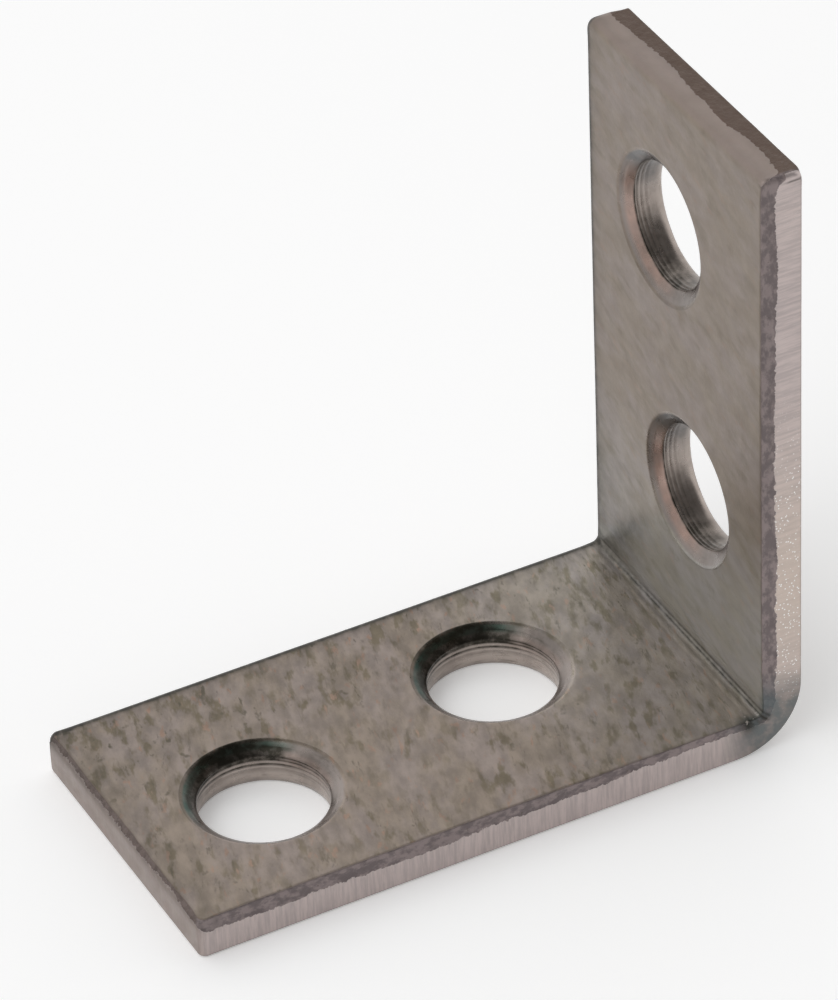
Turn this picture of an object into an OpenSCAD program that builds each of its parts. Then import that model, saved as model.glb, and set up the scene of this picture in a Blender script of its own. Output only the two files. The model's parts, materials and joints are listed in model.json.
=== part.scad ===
// Angle bracket: one strip of sheet steel, blanked, punched, countersunk and folded.
//
// The outer corner of the fold lies along Y. The base leg lies on Z = 0 and runs along +X,
// the upright leg stands on X = 0 and runs along +Z. "Outer" is the side of the sheet
// that meets the joinery, "inner" is the side the screw heads sit in.

/* [Strip] */
// Width of the strip
strip_w = 12.7; // [10.4:0.1:20]
// Thickness of the sheet
sheet_t = 1.65; // [1.3:0.05:2.2]

/* [Legs] */
// Length of the base leg, from the outer corner to its free end
base_leg = 25; // [20.5:0.5:60]
// Height of the upright leg, from the outer corner to its free end
upright_leg = 25.4; // [20.5:0.1:60]
// Corner radius of the base leg's end, -Y side
base_corner_a = 0.35; // [0.2:0.05:2]
// Corner radius of the base leg's end, +Y side
base_corner_b = 0.3; // [0.2:0.05:2]
// Corner radius of the upright leg's end, -Y side
upright_corner_a = 0.5; // [0.2:0.05:2]
// Corner radius of the upright leg's end, +Y side
upright_corner_b = 0.25; // [0.2:0.05:2]

/* [Fold] */
// Radius of the crease on the inner side of the fold
crease_r = 0.25; // [0.15:0.05:1]
// How far the sheet is drawn thin over the fold: added to the outer radius of a plain wrap
fold_draw = 0.8; // [0:0.05:1]
// Depth of the two lines that the folding tool presses in beside the crease
tool_mark = 0.04; // [0.02:0.01:0.08]

/* [Screw holes] */
// Diameter of the straight part of each hole
bore_d = 4.95; // [3.2:0.05:6]
// Widening of the countersink beyond the bore, on the radius
sink_lip = 0.575; // [0.3:0.025:0.75]
// Included angle of the countersink
sink_angle = 110; // [82:1:120]
// Outer corner to the nearer hole of the base leg
base_first = 9; // [7:0.05:12]
// Outer corner to the nearer hole of the upright leg
upright_first = 8.5; // [7:0.05:12]
// Free end to the further hole of the base leg
base_end = 5.4; // [4.5:0.05:9]
// Free end to the further hole of the upright leg
upright_end = 6.3; // [4.5:0.05:9]
// Step of the holes to either side of their row, in turn along the strip
stagger = 0.95; // [0:0.05:1.6]
// Offset of that row from the middle of the strip
row_offset = -0.15; // [-0.4:0.05:0.4]
// Widening of the hole where the punch breaks out of the outer side, on the radius
breakout = 0.2; // [0.05:0.05:0.25]

/* [Cut edges] */
// Radius rolled over where the blade comes from the outer side: +Y edge and base leg's end
roll_outer = 0.12; // [0.06:0.02:0.3]
// Radius rolled over where the blade comes from the inner side: -Y edge and upright leg's end
roll_inner = 0.3; // [0.1:0.02:0.4]
// Share of the thickness that the blade shears square before the sheet tears
sheared = 0.65; // [0.45:0.05:0.7]
// How far the torn part of a long edge leans back at its own side of the sheet
tear_run = 0.18; // [0.1:0.02:0.34]
// How far the torn part of a free end leans back at its own side of the sheet
end_tear_run = 0.06; // [0.02:0.02:0.2]

/* [Hidden] */
$fn = 96;

half_w = strip_w / 2;
torn_t = (1 - sheared) * sheet_t;
fold_r = sheet_t + crease_r + fold_draw;      // outer radius of the fold
mark_r = 0.1;                                 // nose radius of the folding tool's edge
mark_gap = 3 * mark_r;                        // from the crease's arc to the middle of a line
bore_r = bore_d / 2;
sink_r = bore_r + sink_lip;
sink_slope = tan(sink_angle / 2);
sink_depth = sink_lip / sink_slope;
breakout_depth = 0.15 * sheet_t;
over = 0.1;                                   // overlap of cutting solids past a face

// Hole centres on each leg: [distance from the outer corner, Y]
base_holes = [
    [base_first, row_offset - stagger],
    [base_leg - base_end, row_offset + stagger]
];
upright_holes = [
    [upright_first, row_offset + stagger],
    [upright_leg - upright_end, row_offset - stagger]
];

// What a round of radius r removes from a square corner at the origin.
// The material lies towards +X, +Y.
module corner_nib(r) {
    difference() {
        translate([-over, -over])
            square(r + over);
        translate([r, r])
            circle(r);
    }
}

// What a cut edge loses on the side the blade comes from: the corner is rolled over.
// The cut face lies on X = 0, facing +X. The sheet's face is Y = 0, and depth runs along +Y.
module roll_loss(r) {
    mirror([1, 0])
        corner_nib(r);
}

// What a cut edge loses on the other side, where the sheet tears: the face leans back.
// Drawn as roll_loss() is, with depth measured from the torn side.
module tear_loss(run) {
    slope = run / torn_t;
    reach = torn_t + over;
    polygon([
        [-slope * reach, -over],
        [slope * over, reach],
        [slope * over, -over]
    ]);
}

// Carries a sketch along one side of the sheet: the base leg, the fold and the upright leg.
// The sketch's X is the part's Y. Its Y is the height above the side, towards the inner side.
module along_side(face, r) {
    translate([face + r, 0, face])
        rotate([90, 0, 90])
            linear_extrude(base_leg - face - r + over)
                children();
    translate([face, 0, face + r])
        mirror([1, -1, 0])
            linear_extrude(upright_leg - face - r + over)
                children();
    translate([face + r, 0, face + r])
        rotate([90, 0, 0])
            rotate([0, 0, 180])
                rotate_extrude(angle = 90)
                    translate([r, 0])
                        rotate(90)
                            mirror([1, 0])
                                children();
}

// The two long edges. The strip is sheared from a wide sheet one edge after the other, so they
// are opposite ways up: the +Y edge is rolled on the outer side and torn on the inner side, and
// the -Y edge is rolled on the inner side and torn on the outer side.
module long_edge_losses() {
    along_side(0, fold_r)
        translate([half_w, 0])
            roll_loss(roll_outer);
    along_side(sheet_t, crease_r)
        translate([half_w, 0])
            mirror([0, 1])
                tear_loss(tear_run);
    along_side(sheet_t, crease_r)
        translate([-half_w, 0])
            rotate(180)
                roll_loss(roll_inner);
    along_side(0, fold_r)
        translate([-half_w, 0])
            mirror([1, 0])
                tear_loss(tear_run);
}

// Side view of the folded sheet. The inner and outer arcs of the fold are not concentric,
// because the sheet is drawn thin over the corner. The free ends are opposite ways up too,
// because one stroke of the blade cuts the end of one blank and the start of the next.
module fold_profile() {
    t = sheet_t;
    difference() {
        polygon([
            [0, 0],
            [base_leg, 0],
            [base_leg, t],
            [t + crease_r, t],
            [t, t + crease_r],
            [t, upright_leg],
            [0, upright_leg]
        ]);
        translate([t + crease_r, t + crease_r])
            circle(crease_r);
        corner_nib(fold_r);
        // base leg: rolled on the outer side, torn on the inner side
        translate([base_leg, 0])
            roll_loss(roll_outer);
        translate([base_leg, t])
            mirror([0, 1])
                tear_loss(end_tear_run);
        // upright leg: rolled on the inner side, torn on the outer side
        translate([t, upright_leg])
            rotate(90)
                roll_loss(roll_inner);
        translate([0, upright_leg])
            rotate(90)
                mirror([0, 1])
                    tear_loss(end_tear_run);
        // lines pressed in by the folding tool, one on each leg
        translate([t + crease_r + mark_gap, t + mark_r - tool_mark])
            circle(mark_r);
        translate([t + mark_r - tool_mark, t + crease_r + mark_gap])
            circle(mark_r);
    }
}

// Tool that leaves one countersunk hole. The outer side of the sheet is Z = 0, the inner
// side is Z = sheet_t.
module hole_cutter() {
    flare = breakout * over / breakout_depth;
    rotate_extrude()
        polygon([
            [0, -over],
            [bore_r + breakout + flare, -over],
            [bore_r, breakout_depth],
            [bore_r, sheet_t - sink_depth],
            [sink_r + over * sink_slope, sheet_t + over],
            [0, sheet_t + over]
        ]);
}

// Tool that rounds one corner of a leg's end, through the whole sheet. The corner is at the
// origin and the leg lies towards -X and +Y.
module corner_cutter(r) {
    translate([0, 0, -over])
        linear_extrude(sheet_t + 2 * over)
            mirror([1, 0])
                corner_nib(r);
}

// Everything cut from one leg, laid flat: its far end is at X = length.
module leg_cuts(length, holes, corner_a, corner_b) {
    for (h = holes)
        translate([h[0], h[1], 0])
            hole_cutter();
    translate([length, -half_w, 0])
        corner_cutter(corner_a);
    translate([length, half_w, 0])
        mirror([0, 1, 0])
            corner_cutter(corner_b);
}

module bracket() {
    color("#958d84")
        difference() {
            rotate([90, 0, 0])
                linear_extrude(strip_w, center = true)
                    fold_profile();
            long_edge_losses();
            leg_cuts(base_leg, base_holes, base_corner_a, base_corner_b);
            // the upright leg: X and Z change places, Y stays
            mirror([1, 0, -1])
                leg_cuts(upright_leg, upright_holes, upright_corner_a, upright_corner_b);
        }
}

bracket();
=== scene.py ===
"""Visual model of an angle bracket: sheet steel, blanked, punched, folded and zinc plated.

The blank is built flat and folded last. A point of the blank is (station, across, depth) in
millimetres: the station runs along the strip from the base leg's free end, across is the part's
Y, and depth runs from the outer side of the sheet to its inner side. Strip.fold turns such
points into the part's frame.
"""

import itertools
import json
import logging
import math
from dataclasses import astuple, dataclass, field
from enum import Enum
from typing import Any

import bmesh
import bpy
import numpy as np
from mathutils import Matrix, Vector


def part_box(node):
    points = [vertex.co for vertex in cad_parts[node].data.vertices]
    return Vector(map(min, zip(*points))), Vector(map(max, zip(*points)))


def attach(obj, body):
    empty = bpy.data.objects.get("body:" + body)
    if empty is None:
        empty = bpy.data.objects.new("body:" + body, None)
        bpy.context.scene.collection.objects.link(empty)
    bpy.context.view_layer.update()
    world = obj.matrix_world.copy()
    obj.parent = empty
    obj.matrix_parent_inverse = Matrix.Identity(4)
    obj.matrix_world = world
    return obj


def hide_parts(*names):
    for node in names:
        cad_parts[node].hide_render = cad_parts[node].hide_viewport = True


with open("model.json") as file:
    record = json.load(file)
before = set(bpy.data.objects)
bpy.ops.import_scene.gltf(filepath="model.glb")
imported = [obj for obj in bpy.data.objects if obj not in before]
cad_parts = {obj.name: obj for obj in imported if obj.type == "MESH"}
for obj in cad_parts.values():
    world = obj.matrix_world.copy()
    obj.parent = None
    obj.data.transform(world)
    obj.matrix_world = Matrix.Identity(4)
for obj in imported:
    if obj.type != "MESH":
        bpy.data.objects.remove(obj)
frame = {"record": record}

Array = np.ndarray
Rgb = tuple[float, float, float]
Socket = bpy.types.NodeSocket

MM = 0.001
CAD_NODE = "bracket"

log = logging.getLogger("bracket")


class Finish(Enum):
    """The finishes that the bracket's surface is dressed in, one material each."""

    FACE = 0
    CUT = 1
    BORE = 2


# ---------------------------------------------------------------- numbers and shapes


def ease(share: Array) -> Array:
    """Smooth step from 0 to 1: 3f^2 - 2f^3, with f held between 0 and 1."""
    f = np.clip(share, 0.0, 1.0)
    return f * f * (3.0 - 2.0 * f)


def bell(distance: Array, width: float) -> Array:
    """Rounded bump of height 1: exp(-(distance / width)^2)."""
    return np.exp(-((distance / width) ** 2))


# the lattice hash: a multiplier for each axis, the seed's, the mixing step's, and its bits
HASH_AXES = (374761393, 668265263, 1442695041)
HASH_SEED = 974634777
HASH_MIX = 1274126177
HASH_BITS = 0xFFFFFFFF
OCTAVE_SHIFT = 17.3


@dataclass(frozen=True)
class Grain:
    """Smooth random numbers in space, from -1 to 1, the same on every run.

    Every whole-number corner of a lattice has a hashed number. A point takes the blend of the
    eight corners round it, with 3f^2 - 2f^3 as the share along each axis.
    """

    seed: int
    cell: float
    octaves: int = 1

    def corner(self, lattice: Array) -> Array:
        """Hashed number from -1 to 1 for lattice corners.

        Args:
            lattice: whole numbers, shape (..., 3).

        Returns:
            One number for each corner, shape (...).
        """
        h = sum(lattice[..., axis] * factor for axis, factor in enumerate(HASH_AXES))
        h = (h + self.seed * HASH_SEED) & HASH_BITS
        h = ((h ^ (h >> 13)) * HASH_MIX) & HASH_BITS
        return (h ^ (h >> 16)) / HASH_BITS * 2.0 - 1.0

    def layer(self, points: Array, cell: float) -> Array:
        """One octave of the grain.

        Args:
            points: positions in millimetres, shape (..., 3).
            cell: the lattice's spacing in millimetres.

        Returns:
            Numbers from -1 to 1, shape (...).
        """
        scaled = points / cell
        base = np.floor(scaled)
        f = ease(scaled - base)
        whole = base.astype(np.int64)
        total = np.zeros(points.shape[:-1])
        for corner in itertools.product((0, 1), repeat=3):
            share = np.prod(np.where(corner, f, 1 - f), axis=-1)
            total += share * self.corner(whole + np.array(corner))
        return total

    def at(self, points: Array) -> Array:
        """Sum of the octaves, each half the height and cell of the one before.

        Args:
            points: positions in millimetres, shape (..., 3).

        Returns:
            Numbers from about -1 to 1, shape (...).
        """
        total = np.zeros(points.shape[:-1])
        height = 0.0
        for octave in range(self.octaves):
            part = 0.5**octave
            total += part * self.layer(points + OCTAVE_SHIFT * octave, self.cell * part)
            height += part
        return total / height


@dataclass(frozen=True)
class Strip:
    """The strip of sheet, and the fold that makes two legs of it. Millimetres.

    settle is the run on either side of the fold over which the columns may lean.
    """

    base_leg: float
    upright_leg: float
    width: float
    thickness: float = 1.65
    fold_r: float = 2.7
    crease_r: float = 0.25
    settle: float = 1.5

    @property
    def fold_start(self) -> float:
        """Station where the outer side starts to turn."""
        return self.base_leg - self.fold_r

    @property
    def fold_end(self) -> float:
        """Station where the outer side has turned through a right angle."""
        return self.fold_start + self.fold_r * math.pi / 2

    @property
    def length(self) -> float:
        """Length of the blank along its outer side."""
        return self.fold_end + self.upright_leg - self.fold_r

    @property
    def crease_start(self) -> float:
        """Place along the inner side where the crease's arc starts."""
        return self.base_leg - self.thickness - self.crease_r

    @property
    def crease_end(self) -> float:
        """Place along the inner side where the crease's arc ends."""
        return self.crease_start + self.crease_r * math.pi / 2

    @property
    def slip(self) -> float:
        """How much shorter the inner side is than the outer side."""
        inner = self.crease_end + self.upright_leg - self.thickness - self.crease_r
        return self.length - inner

    def inner_place(self, station: Array) -> Array:
        """Place along the inner side that a station's column reaches.

        Away from the fold a column stands square, so the two are in step. Over the fold the
        place follows a cubic with slope 1 at both ends, which takes up the slip.

        Args:
            station: stations along the outer side.

        Returns:
            Lengths along the inner side, from the same free end.
        """
        start = self.fold_start - self.settle
        span = self.fold_end + self.settle - start
        t = np.clip((station - start) / span, 0.0, 1.0)
        cubic = span * (t**3 - 2 * t**2 + t) + (span - self.slip) * (3 * t**2 - 2 * t**3)
        cubic = start + cubic + span * (t**3 - t**2)
        after = station - self.slip
        return np.where(t <= 0, station, np.where(t >= 1, after, cubic))

    def path(self, run: Array, straight: float, radius: float, offset: float) -> Array:
        """Points on one side of the folded sheet, seen from the side.

        A straight run towards the fold, then a quarter circle, then a straight run up.

        Args:
            run: length along this side from the base leg's free end.
            straight: length of the first straight run.
            radius: radius of the quarter circle.
            offset: distance of this side from the outer one.

        Returns:
            (x, z) for each run, shape (..., 2).
        """
        centre = offset + radius
        turn = np.clip((run - straight) / radius, 0.0, math.pi / 2)
        rise = np.maximum(run - straight - radius * math.pi / 2, 0.0)
        x = centre - radius * np.sin(turn) + np.maximum(straight - run, 0.0)
        z = centre - radius * np.cos(turn) + rise
        return np.stack([x, z], axis=-1)

    def fold(self, blank: Array) -> Array:
        """Folds points of the flat blank into the part's frame.

        A point lies on the straight line between its column's ends on the outer and inner
        sides, at its own share of the thickness.

        Args:
            blank: (station, across, depth) in millimetres, shape (..., 3).

        Returns:
            (x, y, z) in millimetres, shape (..., 3).
        """
        station, across, depth = blank[..., 0], blank[..., 1], blank[..., 2]
        outer = self.path(station, self.fold_start, self.fold_r, 0.0)
        run = self.inner_place(station)
        inner = self.path(run, self.crease_start, self.crease_r, self.thickness)
        share = (depth / self.thickness)[..., None]
        side = outer + (inner - outer) * share
        return np.stack([side[..., 0], across, side[..., 1]], axis=-1)

    def upright(self, station: Array) -> Array:
        """0 on the base leg and 1 on the upright, easing from one to the other over the fold."""
        return ease((station - self.fold_start) / (self.fold_end - self.fold_start))

    def bend(self, station: Array) -> Array:
        """1 in the fold, easing to 0 on the flat legs.

        Args:
            station: stations along the outer side.

        Returns:
            Numbers from 0 to 1, of the same shape.
        """
        middle = (self.fold_start + self.fold_end) / 2
        half = (self.fold_end - self.fold_start) / 2
        return 1.0 - ease((np.abs(station - middle) - 0.4 * half) / (1.1 * half))


@dataclass(frozen=True)
class CreaseLine:
    """One dark line along the crease, partly the folding tool's mark and partly painted shade in
    the crease. Millimetres, and strengths from 0 to 1.

    shift is its distance from the middle of the crease, along the inner side and towards the
    upright. Its strength goes from far at the -Y end to near at the +Y end.
    """

    shift: float
    width: float
    far: float
    near: float


CREASE_LINES = (
    CreaseLine(shift=0.0, width=0.17, far=0.52, near=0.52),
    CreaseLine(shift=-0.03, width=0.045, far=0.15, near=0.50),
    CreaseLine(shift=0.13, width=0.045, far=0.0, near=0.50),
    CreaseLine(shift=-0.27, width=0.05, far=0.12, near=0.30),
    CreaseLine(shift=0.42, width=0.06, far=0.14, near=0.14),
    CreaseLine(shift=0.0, width=0.4, far=0.16, near=0.0),
)


@dataclass(frozen=True)
class WearAndPaintedLight:
    """Where the plating is patchy or blued, and where dark lines, painted shade, painted light and
    painted glints lie on it, from 0 to 1, worked out from place alone.

    Lengths are in millimetres. The pocket is painted shade in the hollow at the crease's +Y end.
    The upright is darker below a slanting limit, a painted dark reflection, and greyer there
    with painted light; the limit rises by limit_rise for each millimetre from the -Y edge.
    """

    strip: Strip
    # the pocket's middle, radius and strength are painted shade in the hollow at the crease's +Y
    # end
    pocket: tuple[float, float, float] = (2.30, 6.35, 1.50)
    pocket_r: float = 0.36
    pocket_shade: float = 0.9
    crumb_shift: tuple[float, float, float] = (0.0, -0.05, 0.45)
    crumb_r: float = 0.50
    limit_rise: float = 0.84

    def marks(self, place: Array, blank: Array) -> dict[str, Array]:
        """Every mark that follows from place alone.

        Args:
            place: points in the part's frame, shape (n, 3).
            blank: the same points on the flat blank, shape (n, 3).

        Returns:
            The mark of grime and painted shade, "patina", "blued", "glint", "crumb" and "grey",
            each of shape (n,).
        """
        return {
            "soil": self.soil(place, blank),
            "patina": self.patina(blank),
            "blued": self.blued(blank),
            "glint": self.glint(blank),
            "crumb": self.near_pocket(place, self.crumb_shift, self.crumb_r),
            "grey": self.grey(blank),
        }

    def on_inner(self, blank: Array) -> Array:
        """1 near the inner side of the sheet, easing to 0 at six tenths of its thickness."""
        return ease((blank[:, 2] / self.strip.thickness - 0.6) / 0.2)

    def margin(self, blank: Array) -> Array:
        """Distance from the -Y edge."""
        return blank[:, 1] + self.strip.width / 2

    def near_pocket(self, place: Array, shift: tuple[float, float, float], radius: float) -> Array:
        """Bell of the distance from the pocket's middle, moved by shift."""
        middle = np.array(self.pocket) + np.array(shift)
        return bell(np.linalg.norm(place - middle, axis=1), radius)

    def soil(self, place: Array, blank: Array) -> Array:
        """Darkening of the inner side: the crease's dark lines and painted shade, painted dark
        reflections along the -Y edge and on both legs, dark bells at the base leg's end, and
        painted shade in the pocket.

        Args:
            place: points in the part's frame, shape (n, 3).
            blank: the same points on the flat blank, shape (n, 3).

        Returns:
            Strengths, shape (n,).
        """
        dark = self.crease(blank) + self.far_edge(blank) + self.base_end(blank)
        # painted dark reflections and shade on both legs
        dark += self.painted_reflection(place, blank)
        pocket = self.pocket_shade * self.near_pocket(place, (0.0, 0.0, 0.0), self.pocket_r)
        return self.on_inner(blank) * dark + pocket

    def crease(self, blank: Array) -> Array:
        """The crease's dark lines, each a bell across it, and most of them fading towards -Y: the
        folding tool's marks, and painted shade in the crease.

        Args:
            blank: points of the flat blank, shape (n, 3).

        Returns:
            Strengths, shape (n,).
        """
        middle = (self.strip.crease_start + self.strip.crease_end) / 2
        away = self.strip.inner_place(blank[:, 0]) - middle
        near = ease((blank[:, 1] + 6.2) / 8.0)
        total = np.zeros_like(away)
        for line in CREASE_LINES:
            strength = line.far + (line.near - line.far) * near
            total += strength * bell(away - line.shift, line.width)
        return total

    def far_edge(self, blank: Array) -> Array:
        """Painted dark reflection on the -Y edge: a black rim and a bell beside it, both stronger
        on the base leg.

        Args:
            blank: points of the flat blank, shape (n, 3).

        Returns:
            Strengths, shape (n,).
        """
        base = self.on_base(blank)
        margin = self.margin(blank)
        rim = (0.60 + 0.35 * base) * (1.0 - ease((margin - 0.30) / 0.14))
        return rim + (0.32 + 0.10 * base) * bell(margin, 0.70)

    def base_end(self, blank: Array) -> Array:
        """The base leg's end: a bell on the edge and another just inside it."""
        return 0.22 * bell(blank[:, 0] - 0.70, 0.20) + 0.16 * bell(blank[:, 0], 0.5)

    def on_base(self, blank: Array) -> Array:
        """1 on the base leg, easing to 0 over the fold."""
        return 1.0 - ease((blank[:, 0] - self.strip.fold_start) / 3.0)

    def painted_reflection(self, place: Array, blank: Array) -> Array:
        """Painted dark reflections and shade: broad dimming of both legs.

        On the upright it is a bell along the slanting limit, a wider one below it, one low on
        the -Y side and a faint even tone higher up. On the base leg it is a faint bell beside
        the -Y edge.

        Args:
            place: points in the part's frame, shape (n, 3).
            blank: the same points on the flat blank, shape (n, 3).

        Returns:
            Strengths, shape (n,).
        """
        margin = self.margin(blank)
        limit = place[:, 2] - self.strip.thickness - self.limit_rise * margin
        low = blank[:, 0] - self.strip.fold_end
        upright = 0.30 * bell(limit, 0.5) * bell(margin - 2.8, 1.6)
        upright += 0.30 * bell(limit + 0.8, 1.2) * bell(margin - 1.5, 2.4)
        upright += 0.34 * bell(margin, 3.0) * bell(low - 1.5, 4.0) + 0.085 * ease((low - 5.0) / 5.0)
        past = self.strip.inner_place(blank[:, 0]) > self.strip.crease_end
        return np.where(past, upright, 0.11 * self.on_base(blank) * bell(margin - 2.5, 2.5))

    def blued(self, blank: Array) -> Array:
        """Where the cut edge is blued: round the fold, on the edge alone and mostly on +Y."""
        edge = ease((np.abs(blank[:, 1]) - self.strip.width / 2 + 0.25) / 0.12)
        return self.strip.bend(blank[:, 0]) * edge * np.where(blank[:, 1] > 0, 1.0, 0.3)

    def glint(self, blank: Array) -> Array:
        """Where painted glints go on the sheared band: low on the upright, and a little at its top.

        Args:
            blank: points of the flat blank, shape (n, 3).

        Returns:
            Strengths, shape (n,).
        """
        station = blank[:, 0]
        low = bell(station - self.strip.fold_end - 4.6, 5.6)
        top = 0.10 * bell(station - self.strip.length + 2.0, 2.0)
        return np.where(blank[:, 1] > 0, low + top, 0.0)

    def grey(self, blank: Array) -> Array:
        """Where painted light makes the inner faces lighter and greyer, offsetting their darker
        reflections: by the crease, most on the upright below the limit.

        Args:
            blank: points of the flat blank, shape (n, 3).

        Returns:
            Strengths, shape (n,).
        """
        away = blank[:, 0] - (self.strip.fold_start + self.strip.fold_end) / 2
        limit = blank[:, 0] - self.strip.fold_end + 1.05 - self.limit_rise * self.margin(blank)
        upright = 0.45 + 0.55 * ease(away / 2.0 + 0.5) * (1.0 - ease((limit + 0.2) / 0.6))
        return self.on_inner(blank) * upright * (1.0 - ease((np.abs(away) - 3.0) / 8.0))

    def patina(self, blank: Array) -> Array:
        """How strong the mottling is.

        It is full on the base leg, a little more towards -Y and a little less by the crease,
        and about four tenths on the upright.

        Args:
            blank: points of the flat blank, shape (n, 3).

        Returns:
            Strengths, shape (n,).
        """
        upright = self.strip.upright(blank[:, 0])
        crease = bell(blank[:, 0] - self.strip.fold_start + 2.0, 3.5)
        far = bell(self.margin(blank), 3.2)
        return (1.0 - 0.62 * upright) + (0.30 * far - 0.10 * crease) * (1.0 - upright)


@dataclass
class Skin:
    """Vertices and faces gathered from patches, which share the vertices where they meet.

    Each vertex carries marks: numbers that the materials read as attributes. "cut" is the
    distance past the torn band in millimetres, "torn" and "bare" say how torn and how bright
    the cut is, one mark how dark it is with grime and painted shade, and two more how far a
    painted cool reflection and a painted warm highlight go.
    """

    points: list[Array] = field(default_factory=list)
    faces: list[Array] = field(default_factory=list)
    finishes: list[Array] = field(default_factory=list)
    marks: dict[str, list[Array]] = field(
        default_factory=lambda: {
            name: [] for name in ("cut", "torn", "bare", "soil", "cool", "warm")
        }
    )
    count: int = 0

    def add(self, blank: Array, **marks: Array) -> Array:
        """Adds points of the flat blank.

        Args:
            blank: (station, across, depth), shape (..., 3).
            marks: the points' marks. One that isn't given is 0.

        Returns:
            The new vertices' numbers, shape (...).
        """
        shape = blank.shape[:-1]
        self.points.append(blank.reshape(-1, 3))
        for name, gathered in self.marks.items():
            gathered.append(np.broadcast_to(marks.get(name, 0.0), shape).reshape(-1))
        size = math.prod(shape)
        numbers = np.arange(self.count, self.count + size).reshape(shape)
        self.count += size
        return numbers

    def weave(self, grid: Array, finishes: Array) -> None:
        """Adds a grid's four-sided faces.

        Args:
            grid: vertex numbers, shape (rows, columns).
            finishes: finish of each face, of a shape that spreads to (rows - 1, columns - 1).
        """
        quads = np.stack([grid[:-1, :-1], grid[1:, :-1], grid[1:, 1:], grid[:-1, 1:]], axis=-1)
        self.faces.append(quads.reshape(-1, 4))
        self.finishes.append(np.broadcast_to(finishes, quads.shape[:2]).reshape(-1))

    def fringe(self, owners: Array, loop: Array, finish: Finish) -> None:
        """Joins a fine closed loop to the coarser vertices that stand beside it.

        Each step of the loop makes a triangle with its owner, and each change of owner makes
        one more. A triangle is kept as a face with its last vertex twice.

        Args:
            owners: for each loop vertex the coarse vertex beside it, in the loop's order.
            loop: the fine loop's vertex numbers, closed.
            finish: the finish of the triangles.
        """
        here, after = loop, np.roll(loop, -1)
        own, next_own = owners, np.roll(owners, -1)
        first = np.stack([own, here, after, after], axis=-1)
        changed = own != next_own
        second = np.stack([own, after, next_own, next_own], axis=-1)[changed]
        for faces in (first, second):
            self.faces.append(faces)
            self.finishes.append(np.full(len(faces), finish.value))

    def make(self, name: str, strip: Strip) -> bpy.types.Object:
        """Folds the gathered blank and makes one closed mesh object of it.

        Args:
            name: the object's name.
            strip: the strip that folds it.

        Returns:
            The object, with the flat blank's coordinates as the attribute "blank" and every
            mark as an attribute of its own name.
        """
        quads = np.concatenate(self.faces)
        used, quads = np.unique(quads, return_inverse=True)
        quads = quads.reshape(-1, 4)
        blank = np.concatenate(self.points)[used]
        place = strip.fold(blank)
        marks = {key: np.concatenate(value)[used] for key, value in self.marks.items()}
        wear_and_light = WearAndPaintedLight(strip).marks(place, blank)
        wear_and_light["soil"] = np.clip(marks["soil"] + wear_and_light["soil"], 0.0, 1.0)
        marks |= wear_and_light
        three = quads[:, 2] == quads[:, 3]
        faces = quads[~three].tolist() + quads[three][:, :3].tolist()
        finishes = np.concatenate(self.finishes)
        order = np.concatenate([finishes[~three], finishes[three]])
        mesh = bpy.data.meshes.new(name)
        mesh.from_pydata((place * MM).tolist(), [], faces)
        mesh.polygons.foreach_set("material_index", order.astype(np.int32))
        mesh.polygons.foreach_set("use_smooth", np.ones(len(order), dtype=bool))
        flat = mesh.attributes.new("blank", "FLOAT_VECTOR", "POINT")
        flat.data.foreach_set("vector", blank.astype(np.float32).ravel())
        for key, value in marks.items():
            mark = mesh.attributes.new(key, "FLOAT", "POINT")
            mark.data.foreach_set("value", value.astype(np.float32))
        work = bmesh.new()
        work.from_mesh(mesh)
        open_edges = sum(1 for e in work.edges if len(e.link_faces) != 2)
        bmesh.ops.recalc_face_normals(work, faces=work.faces)
        volume = work.calc_volume(signed=True)
        work.to_mesh(mesh)
        work.free()
        mesh.update()
        volume /= MM**3
        log.info("%s: %d faces, %d open edges, %.1f mm3", name, len(order), open_edges, volume)
        made = bpy.data.objects.new(name, mesh)
        bpy.context.scene.collection.objects.link(made)
        return made


@dataclass(frozen=True)
class Relief:
    """How far each face of the sheet lies below its true plane, never above it. Millimetres.

    mark_gap is how far the folding tool's lines lie from the crease's arc, and mark_wander how
    far they stray from straight.
    """

    strip: Strip
    wave: float = 0.006
    mark_depth: float = 0.014
    mark_width: float = 0.06
    mark_gap: float = 0.30
    mark_wander: float = 0.015

    def rolled(self, station: Array, across: Array, seed: int) -> Array:
        """Slow unevenness left by rolling the sheet: grain of 4 mm cells."""
        where = np.stack([station, across * 1.6, np.zeros_like(station)], axis=-1)
        return self.wave * (1.0 + Grain(seed, 4.0, 2).at(where))

    def crease_marks(self, station: Array, across: Array) -> Array:
        """Fine lines that the folding tool presses in beside the crease.

        Each line is a bell across the inner side's length, and all fade towards -Y.

        Args:
            station: stations along the outer side.
            across: places across the strip, of the same shape.

        Returns:
            Depths in millimetres, of the same shape.
        """
        place = self.strip.inner_place(station)
        fade = 0.2 + 0.8 * ease((across + 6.3) / 8.0)
        flat = np.zeros_like(across)
        wander = self.mark_wander * Grain(31, 1.6).at(np.stack([across, flat, flat], axis=-1))
        total = np.zeros_like(place)
        start, end = self.strip.crease_start, self.strip.crease_end
        for middle in (start - self.mark_gap, end + self.mark_gap):
            total += bell(place - middle - wander, self.mark_width)
        return self.mark_depth * total * fade

    def inner(self, station: Array, across: Array) -> Array:
        """Depth of the inner side's surface, measured from the outer side."""
        loss = self.rolled(station, across, 3) + self.crease_marks(station, across)
        return self.strip.thickness - loss

    def outer(self, station: Array, across: Array) -> Array:
        """Depth of the outer side's surface, measured from the outer side's plane."""
        return self.rolled(station, across, 5)


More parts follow.
